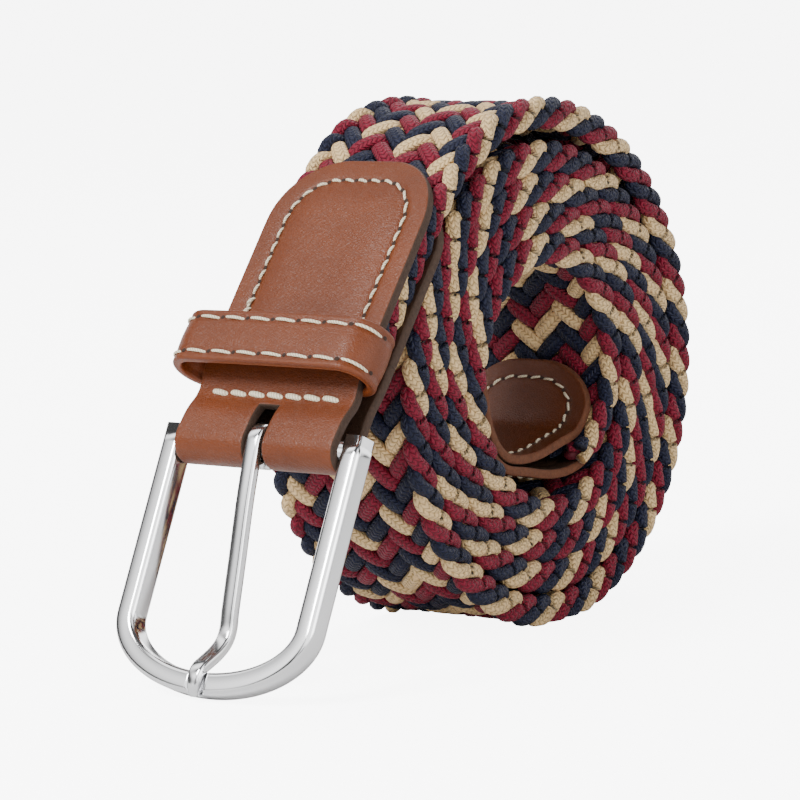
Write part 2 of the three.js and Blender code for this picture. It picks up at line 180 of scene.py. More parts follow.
# one mesh from grids of points, each a row of rings; ends are capped unless the rings close on themselves
def gridMesh(name, grids, uvs=None, closed=False, masks=None):
    verts, quads, caps, loopUvs = [], [], [], []
    base = 0
    for g, grid in enumerate(grids):
        n, m = grid.shape[:2]
        spans = n if closed else n - 1
        i, j = np.arange(spans)[:, None], np.arange(m)[None, :]
        i2, j2 = (i + 1) % n, (j + 1) % m
        quad = np.stack([i * m + j, i * m + j2, i2 * m + j2, i2 * m + j], -1).reshape(-1, 4)
        flat = grid.reshape(-1, 3)
        a, b, c, d = (flat[quad[:, k]] for k in range(4))
        flip = np.einsum("ij,ij->", a, np.cross(b, c)) + np.einsum("ij,ij->", a, np.cross(c, d)) < 0
        if uvs is not None:
            u, v = uvs[g]
            u0 = np.broadcast_to(u[:spans, None], (spans, m))
            v0 = np.broadcast_to(v[None, :], (spans, m))
            v1 = np.broadcast_to(np.append(v[1:], v[0] + 1.0)[None, :], (spans, m))
            u1 = u0 + (u[1] - u[0])
            q = np.stack([np.stack([u0, v0], -1), np.stack([u0, v1], -1),
                          np.stack([u1, v1], -1), np.stack([u1, v0], -1)], 2).reshape(-1, 4, 2)
            loopUvs.append(q[:, ::-1] if flip else q)
        quads.append((quad[:, ::-1] if flip else quad) + base)
        if not closed:
            first, last = np.arange(m), np.arange(m) + (n - 1) * m
            caps.append((first if flip else first[::-1]) + base)
            caps.append((last[::-1] if flip else last) + base)
        verts.append(flat)
        base += len(flat)
    quads = np.concatenate(quads)
    sizes = [4] * len(quads) + [len(c) for c in caps]
    corners = np.concatenate([quads.reshape(-1)] + caps)
    flatUv = None
    if uvs is not None:
        flatUv = np.concatenate([np.concatenate(loopUvs).reshape(-1, 2),
                                 np.zeros((len(corners) - quads.size, 2))])
    flatMasks = {k: np.concatenate([v.ravel() for v in values]) for k, values in (masks or {}).items()}
    return meshPiece(name, np.concatenate(verts), corners, sizes, flatUv, flatMasks)


# a flat sheet with thickness: top and bottom grids, cells left out by the mask, walls round every edge
def slabMesh(name, top, bottom, cells, masks):
    n, m = top.shape[:2]
    index = np.arange(n * m).reshape(n, m)
    corner = [index[:-1, :-1], index[1:, :-1], index[1:, 1:], index[:-1, 1:]]
    quad = np.stack(corner, -1)[cells]
    low = quad[:, ::-1] + n * m
    edges = np.concatenate([quad[:, [k, (k + 1) % 4]] for k in range(4)])
    known = {tuple(e) for e in edges.tolist()}
    rim = np.array([e for e in edges.tolist() if (e[1], e[0]) not in known])
    walls = np.stack([rim[:, 1], rim[:, 0], rim[:, 0] + n * m, rim[:, 1] + n * m], -1)
    quads = np.concatenate([quad, low, walls])
    verts = np.concatenate([top.reshape(-1, 3), bottom.reshape(-1, 3)])
    a, b, c, d = (verts[quads[:, k]] for k in range(4))
    if np.einsum("ij,ij->", a, np.cross(b, c)) + np.einsum("ij,ij->", a, np.cross(c, d)) < 0:
        quads = quads[:, ::-1]
    used = np.unique(quads)
    place = np.zeros(len(verts), int)
    place[used] = np.arange(len(used))
    flatMasks = {k: np.concatenate([v.ravel(), v.ravel()])[used] for k, v in masks.items()}
    flatMasks["back"] = (used >= n * m).astype(float)
    return meshPiece(name, verts[used], place[quads].reshape(-1), [4] * len(quads), None, flatMasks)


# camera and lights: the photograph's own angle, fitted to the coil's round edge and the buckle
camera = {
    "azimuth": 38.3, "elevation": 8.2, "roll": -2.8, "lens": 172.4,
    "place": (418.7, -553.0, 95.3), "sensor": 36.0,
}


# the camera looks back along its own direction; right is level, then both are rolled
def addCamera():
    az, el = math.radians(camera["azimuth"]), math.radians(camera["elevation"])
    roll = math.radians(camera["roll"])
    back = np.array([math.sin(az) * math.cos(el), -math.cos(az) * math.cos(el), math.sin(el)])
    right = np.array([math.cos(az), math.sin(az), 0.0])
    up = np.cross(back, right)
    rolledRight = math.cos(roll) * right + math.sin(roll) * up
    rolledUp = -math.sin(roll) * right + math.cos(roll) * up
    x, y, z = camera["place"]
    data = bpy.data.cameras.new("viewCamera")
    data.lens = camera["lens"]
    data.sensor_width = camera["sensor"]
    data.clip_start = 0.05
    data.clip_end = 20.0
    view = bpy.data.objects.new("viewCamera", data)
    bpy.context.scene.collection.objects.link(view)
    rows = [[rolledRight[i], rolledUp[i], back[i], 0.0] for i in range(3)] + [[0.0, 0.0, 0.0, 1.0]]
    place = mathutils.Matrix.Translation((x * mm, (y + axisY) * mm, (z + axisZ) * mm))
    view.matrix_world = place @ mathutils.Matrix(rows)
    bpy.context.scene.camera = view


studio = {
    "dark": 0.10, "bright": 0.60, "mirrored": 2.2, "seen": 8.0, "patches": 1.5,
    "key": {"place": (-0.25, -0.75, 0.75), "size": 0.4, "power": 14.0},
    "fill": {"place": (0.9, -0.25, 0.40), "size": 0.6, "power": 4.0},
    "rim": {"place": (-0.2, 0.5, 0.8), "size": 0.5, "power": 4.0},
    "aim": (0.0, -0.02, 0.05),
    "floor": (0.9, 0.9, 0.9), "floorGlow": 7.0, "floorHalf": 4.0,
}


# a white room with soft dark patches, which only reflections and light see; the lens sees plain white
def addStudio():
    world = bpy.data.worlds.new("studioWorld")
    bpy.context.scene.world = world
    world.use_nodes = True
    tree = world.node_tree
    toward = tree.nodes.new("ShaderNodeTexCoord").outputs["Generated"]
    patch = noiseNode(tree, toward, studio["patches"], 0.0)
    patch = clampNode(tree, mathNode(tree, "MULTIPLY_ADD", patch, 5.0, -2.0))
    lit = mathNode(tree, "MULTIPLY_ADD", patch, studio["bright"] - studio["dark"], studio["dark"])
    path = tree.nodes.new("ShaderNodeLightPath")
    mirrored = mathNode(tree, "MULTIPLY", mathNode(tree, "MULTIPLY", patch, path.outputs["Is Glossy Ray"]),
                        studio["mirrored"])
    strength = mathNode(tree, "MULTIPLY_ADD", path.outputs["Is Camera Ray"], studio["seen"],
                        mathNode(tree, "ADD", lit, mirrored))
    background = tree.nodes["Background"]
    background.inputs["Color"].default_value = (1.0, 1.0, 1.0, 1.0)
    tree.links.new(strength, background.inputs["Strength"])
    for name in ("key", "fill", "rim"):
        lamp = studio[name]
        data = bpy.data.lights.new(name, "AREA")
        data.energy = lamp["power"]
        data.size = lamp["size"]
        light = bpy.data.objects.new(name, data)
        light.location = lamp["place"]
        aim = mathutils.Vector(studio["aim"]) - light.location
        light.rotation_euler = aim.to_track_quat("-Z", "Y").to_euler()
        bpy.context.scene.collection.objects.link(light)
    half = studio["floorHalf"]
    mesh = bpy.data.meshes.new("floor")
    corners = [(-half, -half, 0), (half, -half, 0), (half, half, 0), (-half, half, 0)]
    mesh.from_pydata(corners, [], [(0, 1, 2, 3)])
    floor = bpy.data.objects.new("floor", mesh)
    bpy.context.scene.collection.objects.link(floor)
    material, tree, surface = newMaterial("paleFloor")
    surface.inputs["Base Color"].default_value = (*studio["floor"], 1.0)
    surface.inputs["Roughness"].default_value = 0.9
    surface.inputs["Emission Color"].default_value = (1.0, 1.0, 1.0, 1.0)
    glow = mathNode(tree, "MULTIPLY", tree.nodes.new("ShaderNodeLightPath").outputs["Is Camera Ray"],
                    studio["floorGlow"])
    tree.links.new(glow, surface.inputs["Emission Strength"])
    mesh.materials.append(material)


# small helpers for node trees
def newMaterial(name):
    material = bpy.data.materials.new(name)
    material.use_nodes = True
    tree = material.node_tree
    return material, tree, tree.nodes["Principled BSDF"]


def mathNode(tree, operation, first, second=None, third=None):
    node = tree.nodes.new("ShaderNodeMath")
    node.operation = operation
    for slot, value in enumerate((first, second, third)):
        if value is None:
            continue
        if isinstance(value, (int, float)):
            node.inputs[slot].default_value = value
        else:
            tree.links.new(value, node.inputs[slot])
    return node.outputs[0]


def clampNode(tree, value):
    node = tree.nodes.new("ShaderNodeClamp")
    tree.links.new(value, node.inputs[0])
    return node.outputs[0]


def mixColour(tree, factor, first, second):
    node = tree.nodes.new("ShaderNodeMix")
    node.data_type = "RGBA"
    for socket, value in ((node.inputs[0], factor), (node.inputs[6], first), (node.inputs[7], second)):
        if isinstance(value, tuple):
            socket.default_value = (*value, 1.0)
        elif isinstance(value, (int, float)):
            socket.default_value = value
        else:
            tree.links.new(value, socket)
    return node.outputs[2]


def noiseNode(tree, vector, scale, detail=3.0, roughness=0.5):
    node = tree.nodes.new("ShaderNodeTexNoise")
    node.inputs["Scale"].default_value = scale
    node.inputs["Detail"].default_value = detail
    node.inputs["Roughness"].default_value = roughness
    tree.links.new(vector, node.inputs["Vector"])
    return node.outputs["Fac"]


def attributeNode(tree, name):
    node = tree.nodes.new("ShaderNodeAttribute")
    node.attribute_name = name
    return node.outputs["Fac"]


def objectPlace(tree, stretch=(1.0, 1.0, 1.0)):
    place = tree.nodes.new("ShaderNodeTexCoord").outputs["Object"]
    if stretch == (1.0, 1.0, 1.0):
        return place
    mapping = tree.nodes.new("ShaderNodeMapping")
    mapping.inputs["Scale"].default_value = stretch
    tree.links.new(place, mapping.inputs["Vector"])
    return mapping.outputs[0]


def addBump(tree, surface, height, depth):
    bump = tree.nodes.new("ShaderNodeBump")
    bump.inputs["Strength"].default_value = 1.0
    bump.inputs["Distance"].default_value = depth * mm
    tree.links.new(height, bump.inputs["Height"])
    tree.links.new(bump.outputs[0], surface.inputs["Normal"])


def newGroup(name, inputs, outputs):
    group = bpy.data.node_groups.new(name, "ShaderNodeTree")
    for label, kind, value in inputs:
        socket = group.interface.new_socket(label, in_out="INPUT", socket_type=kind)
        if value is not None:
            socket.default_value = value
    for label, kind in outputs:
        group.interface.new_socket(label, in_out="OUTPUT", socket_type=kind)
    return group, group.nodes.new("NodeGroupInput"), group.nodes.new("NodeGroupOutput")


def placeGroup(tree, group, **values):
    node = tree.nodes.new("ShaderNodeGroup")
    node.node_tree = group
    for label, value in values.items():
        socket = node.inputs[label]
        if isinstance(value, (int, float)):
            socket.default_value = value
        elif isinstance(value, tuple):
            socket.default_value = (*value, 1.0)
        else:
            tree.links.new(value, socket)
    return node


addCamera()
addStudio()
print("camera and studio ready")


# knitted cover of a cord: stitches slant both ways from each rib, height = |sin| of length + slant; gap is a
# painted shade mask, high where the stitches sink
def makeKnit():
    group, entry, result = newGroup(
        "cordKnit",
        [("along", "NodeSocketFloat", 0.0), ("around", "NodeSocketFloat", 0.0),
         ("stitch", "NodeSocketFloat", 0.75), ("columns", "NodeSocketFloat", 6.0)],
        [("height", "NodeSocketFloat"), ("gap", "NodeSocketFloat")])
    column = mathNode(group, "MULTIPLY", entry.outputs["around"], entry.outputs["columns"])
    across = mathNode(group, "FRACT", column)
    slant = mathNode(group, "ABSOLUTE", mathNode(group, "SUBTRACT", across, 0.5))
    run = mathNode(group, "DIVIDE", entry.outputs["along"], entry.outputs["stitch"])
    phase = mathNode(group, "ADD", run, mathNode(group, "MULTIPLY", slant, 1.3))
    wave = mathNode(group, "ABSOLUTE", mathNode(group, "SINE", mathNode(group, "MULTIPLY", phase, math.pi)))
    rib = mathNode(group, "SINE", mathNode(group, "MULTIPLY", across, math.pi))
    height = mathNode(group, "MULTIPLY", mathNode(group, "POWER", wave, 0.7),
                      mathNode(group, "POWER", rib, 0.35))
    group.links.new(height, result.inputs["height"])
    # gap: painted shade, strongest in the low places between stitches and between ribs
    near = mathNode(group, "MINIMUM", mathNode(group, "MULTIPLY", height, 1.8), 1.0)
    group.links.new(mathNode(group, "SUBTRACT", 1.0, near), result.inputs["gap"])
    return group


# leather: fine creases from two stretched noises, pores, and a slow change of tint
def makeLeather():
    group, entry, result = newGroup(
        "leatherGrain",
        [("place", "NodeSocketVector", None), ("fineness", "NodeSocketFloat", 1100.0)],
        [("height", "NodeSocketFloat"), ("tint", "NodeSocketFloat")])
    place, fineness = entry.outputs["place"], entry.outputs["fineness"]

    def noise(scaleFactor, detail):
        node = group.nodes.new("ShaderNodeTexNoise")
        node.inputs["Detail"].default_value = detail
        group.links.new(place, node.inputs["Vector"])
        group.links.new(mathNode(group, "MULTIPLY", fineness, scaleFactor), node.inputs["Scale"])
        return node.outputs["Fac"]

    cells = group.nodes.new("ShaderNodeTexVoronoi")
    cells.feature = "DISTANCE_TO_EDGE"
    group.links.new(place, cells.inputs["Vector"])
    group.links.new(mathNode(group, "MULTIPLY", fineness, 1.4), cells.inputs["Scale"])
    pebble = mathNode(group, "MINIMUM", mathNode(group, "MULTIPLY", cells.outputs["Distance"], 3.0), 0.5)
    height = mathNode(group, "MULTIPLY_ADD", noise(0.8, 4.0), 1.2, pebble)
    group.links.new(height, result.inputs["height"])
    tint = mathNode(group, "MULTIPLY_ADD", noise(0.05, 3.0), 0.8,
                    mathNode(group, "MULTIPLY", noise(0.9, 2.0), 0.35))
    group.links.new(tint, result.inputs["tint"])
    return group


knit = makeKnit()
leatherGrain = makeLeather()

# each cord's light and deep colours: deep serves both for uneven tone and for painted shade in the knit's
# gaps
cords = {
    "pitch": 4.6, "reach": 16.1, "height": 1.15, "edgeHeight": 1.85, "edgePeak": 1.5,
    "width": 3.35, "thick": 2.2, "edgeWidth": 2.75, "edgeThick": 2.5,
    "samplesPerStep": 4, "sides": 10, "reference": 1532.0,
    "edgeSlope": 2.2, "edgeRound": 3.0, "edgeLinger": 1.3, "edgeSpan": 1.6,
    "order": "CNRCNRCNRNRCNRCNR", "cycle": 34.0, "flipStart": 15.4, "flipSpan": 3.2,
    "stitch": 0.85, "columns": 6.0, "bump": 0.30,
    "cream": {"light": (0.86, 0.60, 0.30), "deep": (0.32, 0.17, 0.055), "sheen": 0.12},
    "navy": {"light": (0.0035, 0.0060, 0.026), "deep": (0.0006, 0.001, 0.006), "sheen": 0.02},
    "burgundy": {"light": (0.205, 0.0035, 0.023), "deep": (0.040, 0.0008, 0.004), "sheen": 0.04},
}


def cordMaterial(name, colours):
    material, tree, surface = newMaterial(name)
    uv = tree.nodes.new("ShaderNodeUVMap")
    uv.uv_map = "alongCord"
    parts = tree.nodes.new("ShaderNodeSeparateXYZ")
    tree.links.new(uv.outputs["UV"], parts.inputs[0])
    place = objectPlace(tree)
    pattern = placeGroup(tree, knit, along=parts.outputs["X"], around=parts.outputs["Y"],
                         stitch=cords["stitch"], columns=cords["columns"])
    uneven = noiseNode(tree, place, 260.0, 2.0)
    # the colour goes towards deep with random unevenness (real tone) and in the knit's gaps (painted shade)
    toneAndGapShade = mathNode(tree, "MULTIPLY_ADD", uneven, 0.5,
                     mathNode(tree, "MULTIPLY", pattern.outputs["gap"], 0.75))
    toneAndGapShade = clampNode(tree, mathNode(tree, "SUBTRACT", toneAndGapShade, 0.2))
    tree.links.new(mixColour(tree, toneAndGapShade, colours["light"], colours["deep"]), surface.inputs["Base Color"])
    fibre = noiseNode(tree, place, 2600.0, 2.0)
    height = mathNode(tree, "MULTIPLY_ADD", fibre, 0.2, pattern.outputs["height"])
    addBump(tree, surface, height, cords["bump"])
    tree.links.new(mathNode(tree, "MULTIPLY_ADD", uneven, 0.2, 0.5), surface.inputs["Roughness"])
    surface.inputs["Sheen Weight"].default_value = colours["sheen"]
    surface.inputs["Sheen Roughness"].default_value = 0.4
    surface.inputs["Specular IOR Level"].default_value = 0.3
    return material


# over or under: lobes between the places where a cord changes side, flat-topped inside and sines at the edges
def overUnder(q):
    changes = np.array([0.0, 2.5, 4.5, 6.5, 8.5, 10.5, 12.5, 14.5, 17.0,
                        19.5, 21.5, 23.5, 25.5, 27.5, 29.5, 31.5, 34.0])
    q = np.mod(q, cords["cycle"])
    half = cords["cycle"] / 2
    lobe = np.clip(np.searchsorted(changes, q, side="right") - 1, 0, len(changes) - 2)
    share = (q - changes[lobe]) / (changes[lobe + 1] - changes[lobe])
    flat = np.tanh(1.9 * np.sin(math.pi * share)) / math.tanh(1.9) * cords["height"]
    atEdge = changes[lobe + 1] - changes[lobe] > 2.2
    fromEdge = np.minimum(np.mod(q, half), half - np.mod(q, half))
    rise = np.sin(math.pi / 2 * np.minimum(fromEdge / cords["edgePeak"], 1.0))
    past = ease((fromEdge - cords["edgePeak"]) / (2.5 - cords["edgePeak"]))
    slope = cords["edgeHeight"] * rise * (1.0 - past)
    return np.where(lobe % 2 == 0, -1.0, 1.0) * np.where(atEdge, slope, flat)


# how far across: a hyperbola rounds each turn, and the cord lingers at the edge,
# so that the step is e + linger * tanh(e / span)
def cordAcross(q):
    c = cords
    half, quarter = c["cycle"] / 2, c["cycle"] / 4
    e = np.linspace(0.0, quarter, 600)
    fromEdge = e + c["edgeLinger"] * (np.tanh(e / c["edgeSpan"]) - e / quarter)
    inward = np.sqrt((c["edgeSlope"] * e) ** 2 + c["edgeRound"] ** 2) - c["edgeRound"]
    across = 1.0 - inward / inward[-1]
    nearEdge = abs(np.mod(q, c["cycle"]) - half)
    farEdge = half - nearEdge
    share = np.interp(np.minimum(nearEdge, farEdge), fromEdge, across)
    return c["reach"] * np.where(nearEdge < farEdge, share, -share)


# one cord: it zigzags across the band, and turns its flat side round each edge
def cordGrid(strand):
    c = cords
    step = c["pitch"] / 2.0
    start, end = belt["tipLength"] - belt["tipOverlap"], beltLength - belt["bandEndFromBar"]
    reference = coilPoints([c["reference"]])[0]
    referenceS = routeLength[np.argmin(np.linalg.norm(route - reference, axis=1))]
    count = int(round((end - start) / step)) * c["samplesPerStep"]
    s = np.linspace(start, end, count + 1)
    half = c["cycle"] / 2
    q = (s - referenceS) / step + half + 2.0 * strand
    across = cordAcross(q)
    thin = bandThickness(s) / belt["thickness"]
    out = overUnder(q) * thin
    place, normal = onBelt(s)
    centre = np.concatenate([across[:, None], place + normal * out[:, None]], 1)
    heading = np.gradient(centre, axis=0)
    heading /= np.linalg.norm(heading, axis=1, keepdims=True)
    flips = [ease((np.mod(q - late, c["cycle"]) - c["flipStart"]) / c["flipSpan"]) for late in (0.0, half)]
    turn = math.pi * (flips[0] + flips[1])
    facing = np.concatenate([np.sin(turn)[:, None], normal * np.cos(turn)[:, None]], 1)
    side = np.cross(heading, facing)
    side /= np.linalg.norm(side, axis=1, keepdims=True)
    top = np.cross(side, heading)
    a = np.arange(c["sides"]) / c["sides"] * 2 * math.pi
    toEdge = ease((abs(across) - 0.72 * c["reach"]) / (0.2 * c["reach"]))
    wide = (c["width"] + (c["edgeWidth"] - c["width"]) * toEdge) / 2
    tall = (c["thick"] + (c["edgeThick"] - c["thick"]) * toEdge) / 2 * thin
    ring = centre[:, None] + wide[:, None, None] * np.cos(a)[None, :, None] * side[:, None] \
        + tall[:, None, None] * np.sin(a)[None, :, None] * top[:, None]
    run = np.concatenate([[0.0], np.cumsum(np.linalg.norm(np.diff(centre, axis=0), axis=1))])
    return toRow(ring[..., 0], ring[..., 1:]), (run, a / (2 * math.pi))


def finishPiece(piece, material, body, slot, *nodes):
    piece.data.materials.append(material)
    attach(piece, body)
    if nodes:
        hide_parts(*nodes)
    print(piece.name, len(piece.data.polygons), "faces")


def addCords():
    for name, letter in {"cream": "C", "navy": "N", "burgundy": "R"}.items():
        strands = [k for k, colour in enumerate(cords["order"]) if colour == letter]
        made = [cordGrid(k) for k in strands]
        piece = gridMesh(name + "Cords", [grid for grid, _ in made], [uv for _, uv in made])
        finishPiece(piece, cordMaterial(name + "Cord", cords[name]), "belt", "woven_band", "braid")


addCords()

leather = {
    "tan": (0.215, 0.052, 0.013), "tanDark": (0.095, 0.020, 0.004),
    "brown": (0.150, 0.040, 0.012), "brownDark": (0.070, 0.016, 0.004),
    "tanEdge": (0.050, 0.028, 0.018), "brownEdge": (0.105, 0.036, 0.015),
    "suede": (0.24, 0.055, 0.015), "back": (0.050, 0.026, 0.016),
    "fineness": 1700.0, "bump": 0.055, "rough": 0.36,
}


# leather with a painted edge (edge mask), a line of painted shade along the seam's groove, and a rough back
# (back mask)
def leatherMaterial(name, light, dark, edge, back, seamInset):
    material, tree, surface = newMaterial(name)
    grain = placeGroup(tree, leatherGrain, place=objectPlace(tree, (0.6, 1.0, 1.0)),
                       fineness=leather["fineness"])
    colour = mixColour(tree, clampNode(tree, grain.outputs["tint"]), light, dark)
    inset = attributeNode(tree, "inset")
    # seam: painted shade, darkening the colour in the groove along the seam line
    away = mathNode(tree, "ABSOLUTE", mathNode(tree, "SUBTRACT", inset, seamInset))
    seam = clampNode(tree, mathNode(tree, "SUBTRACT", 1.0, mathNode(tree, "MULTIPLY", away, 1.1)))
    colour = mixColour(tree, mathNode(tree, "MULTIPLY", seam, 0.35), colour, dark)
    colour = mixColour(tree, attributeNode(tree, "back"), colour, back)
    fuzz = noiseNode(tree, objectPlace(tree), 1500.0, 3.0)
    edgeMask = attributeNode(tree, "edge")
    cut = clampNode(tree, mathNode(tree, "MULTIPLY", mathNode(tree, "SUBTRACT", edgeMask, 0.45), 5.0))
    edgeColour = mixColour(tree, fuzz, tuple(0.5 * v for v in edge), tuple(1.6 * v for v in edge))
    tree.links.new(mixColour(tree, cut, colour, edgeColour), surface.inputs["Base Color"])
    grained = mathNode(tree, "MULTIPLY_ADD", grain.outputs["tint"], 0.15, leather["rough"] - 0.06)
    tree.links.new(mathNode(tree, "MULTIPLY_ADD", cut, 0.4, grained), surface.inputs["Roughness"])
    groove = mathNode(tree, "MULTIPLY", seam, -3.0)
    height = mathNode(tree, "ADD", grain.outputs["height"], groove)
    addBump(tree, surface, height, leather["bump"])
    surface.inputs["Specular IOR Level"].default_value = 0.32
    return material


# a ribbon of leather laid out flat: length u gives a place and the normal of its face
def tabRibbon():
    front, back = belt["tabFront"], belt["tabBack"]
    apart = belt["tabApart"]
    u = np.linspace(0.0, front, 140)
    place, normal = onBelt(beltLength - front + u)
    dent = tab["dent"] * np.exp(-((front - u - tab["dentAt"]) / tab["dentWide"]) ** 2)
    places, normals, lengths = [place + normal * (apart - dent)[:, None]], [normal], [u]
    bar, outward = np.array(belt["bar"]), normal[-1]
    turn = np.linspace(0.0, math.pi, 33)[1:-1]
    along = np.array([-outward[1], outward[0]])
    rolled = outward * np.cos(turn)[:, None] + along * np.sin(turn)[:, None]
    places.append(bar + rolled * apart)
    normals.append(rolled)
    lengths.append(front + apart * turn)
    v = np.linspace(0.0, back, 130)
    place, normal = onBelt(beltLength - v)
    dent = 0.4 * tab["dent"] * np.exp(-((v - tab["dentAt"]) / tab["dentWide"]) ** 2)
    places.append(place - normal * (apart - dent)[:, None])
    normals.append(-normal)
    lengths.append(front + apart * math.pi + v)
    return np.concatenate(lengths), np.concatenate(places), np.concatenate(normals)


# a tip layer follows the belt's middle line, and opens where the band's end lies between the two layers
def tipRibbon(side):
    u = np.linspace(0.0, belt["tipLength"], 220)
    place, normal = onBelt(u)
    bandStart = belt["tipLength"] - belt["tipOverlap"]
    apart = belt["tipApart"] + belt["tipOpens"] * ease((u - bandStart + tip["close"] + 1.0) / tip["close"])
    return u, place + normal * (side * apart)[:, None], normal * side


# a point over the ribbon's face: x across, u along, lift above the leather's middle
def ribbonPoint(ribbon, x, u, lift):
    lengths, places, normals = ribbon

    def at(values):
        return np.stack([np.interp(u, lengths, values[:, k]) for k in range(2)], -1)

    normal = at(normals)
    normal /= np.linalg.norm(normal, axis=-1, keepdims=True)
    return toRow(x, at(places) + normal * np.asarray(lift)[..., None])


# distance inside a rounded rectangle of half width W, length U and corner radius R
def insideOutline(x, u, half, length, corner):
    e = np.minimum(u, length - u)
    cx, ce = abs(x) - (half - corner), corner - e
    roundPart = corner - np.hypot(np.maximum(cx, 0), np.maximum(ce, 0))
    return np.where((cx > 0) & (ce > 0), roundPart, np.minimum(half - abs(x), e))


# how far a rounded edge falls away: r - sqrt(r^2 - (r - d)^2)
def edgeFall(d, radius):
    inside = np.clip(radius - d, 0.0, radius)
    return radius - np.sqrt(radius ** 2 - inside ** 2)


# rows along a strip: close together round both ends, even between, with extra rows where asked
def rowsAlong(length, corner, spacing, extra=()):
    near = corner * (1 - np.cos(np.linspace(0, math.pi / 2, 16)))
    middle = np.linspace(corner, length - corner, int((length - 2 * corner) / spacing))
    return np.unique(np.round(np.concatenate([near, middle, length - near, extra]), 4))


# leather strip: columns follow the outline, top and bottom fall away round every edge
def leatherStrip(name, ribbon, size, rows, columns, hole=None, puff=None):
    half, length, corner, thick = size["half"], size["length"], size["corner"], size["thick"]
    e = np.minimum(rows, length - rows)
    inside = np.maximum(corner - e, 0.0)
    width = half - corner + np.sqrt(np.maximum(corner ** 2 - inside ** 2, 0.0))
    x = columns[None, :] * width[:, None]
    u = np.broadcast_to(rows[:, None], x.shape)
    d = insideOutline(x, u, half, length, corner)
    cells = np.ones((len(rows) - 1, len(columns) - 1), bool)
    nearest = d
    if hole:
        holeHalf, holeStart, holeEnd = hole
        beyond = np.maximum(np.maximum(holeStart - u, u - holeEnd), 0)
        outside = np.hypot(np.maximum(abs(x) - holeHalf, 0), beyond)
        nearest = np.minimum(d, outside)
        middleX = (x[:-1, :-1] + x[1:, 1:]) / 2
        middleU = (u[:-1, :-1] + u[1:, 1:]) / 2
        cells = ~((abs(middleX) < holeHalf) & (middleU > holeStart) & (middleU < holeEnd))
    fall = edgeFall(nearest, size["edge"])
    lift = puff(x, u, d) if puff else 0.0
    top = ribbonPoint(ribbon, x, u, thick / 2 - fall + lift)
    bottom = ribbonPoint(ribbon, x, u, fall - thick / 2)
    edge = 1.0 - np.clip(nearest / size["edge"], 0.0, 1.0)
    sewn = np.where(e[:, None] < size.get("seamEnd", length) + 0.5, d, 20.0)
    return slabMesh(name, top, bottom, cells, {"edge": edge, "inset": sewn})


# thread along a seam, with a dark disc of painted shade at each hole: each stitch arches a little out of the
# leather and dives in at both ends
def seamPieces(name, body, point, path, stitch, count=None):
    steps = np.linalg.norm(np.diff(path, axis=0), axis=1)
    run = np.concatenate([[0.0], np.cumsum(steps)])
    count = count or int(round(run[-1] / stitch["pitch"]))
    pitch = run[-1] / count
    t = np.linspace(0.0, 1.0, 9)
    starts = np.arange(count)[:, None] * pitch + pitch * stitch["gap"] / 2
    along = starts + t[None, :] * pitch * (1 - stitch["gap"])
    spot = np.stack([np.interp(along, run, path[:, k]) for k in range(2)], -1)
    heading = np.stack([np.interp(along + 0.2, run, path[:, k]) - np.interp(along - 0.2, run, path[:, k])
                        for k in range(2)], -1)
    heading /= np.linalg.norm(heading, axis=-1, keepdims=True) + 1e-9
    aside = np.stack([-heading[..., 1], heading[..., 0]], -1)
    spot = spot + aside * (stitch["slant"] * (t[None, :, None] - 0.5))
    arch = np.sin(math.pi * t) ** 0.6
    lift = stitch["rise"] * arch - stitch["sink"] * (1 - arch)
    radius = stitch["radius"] * (0.35 + 0.65 * np.sin(math.pi * t) ** 0.4)
    a = np.arange(8) / 8 * 2 * math.pi
    x = spot[..., None, 0] + aside[..., None, 0] * (radius[None, :, None] * np.cos(a))
    u = spot[..., None, 1] + aside[..., None, 1] * (radius[None, :, None] * np.cos(a))
    high = lift[None, :, None] + radius[None, :, None] * np.sin(a) * stitch["flat"]
    grids = point(x, u, np.broadcast_to(high, x.shape))
    piece = gridMesh(name + "Thread", list(grids), [(t * pitch * 1.6, a / (2 * math.pi))] * count)
    finishPiece(piece, threadMaterial, body, stitch["slot"])
    # painted shade: dark discs where each stitch enters the leather, standing in for the holes
    ends = np.concatenate([along[:, 0] - 0.1, along[:, -1] + 0.1])
    middle = np.stack([np.interp(ends, run, path[:, k]) for k in range(2)], -1)
    level = np.linspace(-1.0, 1.0, 6)[None, :, None]
    wide = np.sqrt(1.0 - (0.97 * level) ** 2) * stitch["hole"]
    hx = middle[:, None, None, 0] + wide * np.cos(a)
    hu = middle[:, None, None, 1] + wide * np.sin(a)
    hLift = np.broadcast_to(level * stitch["holeRise"], hx.shape)
    finishPiece(gridMesh(name + "HoleShade", list(point(hx, hu, hLift))), holeShadeMaterial, body, stitch["slot"])


def plainMaterial(name, colour, rough, metallic=0.0):
    material, tree, surface = newMaterial(name)
    surface.inputs["Base Color"].default_value = (*colour, 1.0)
    surface.inputs["Roughness"].default_value = rough
    surface.inputs["Metallic"].default_value = metallic
    return material, tree, surface


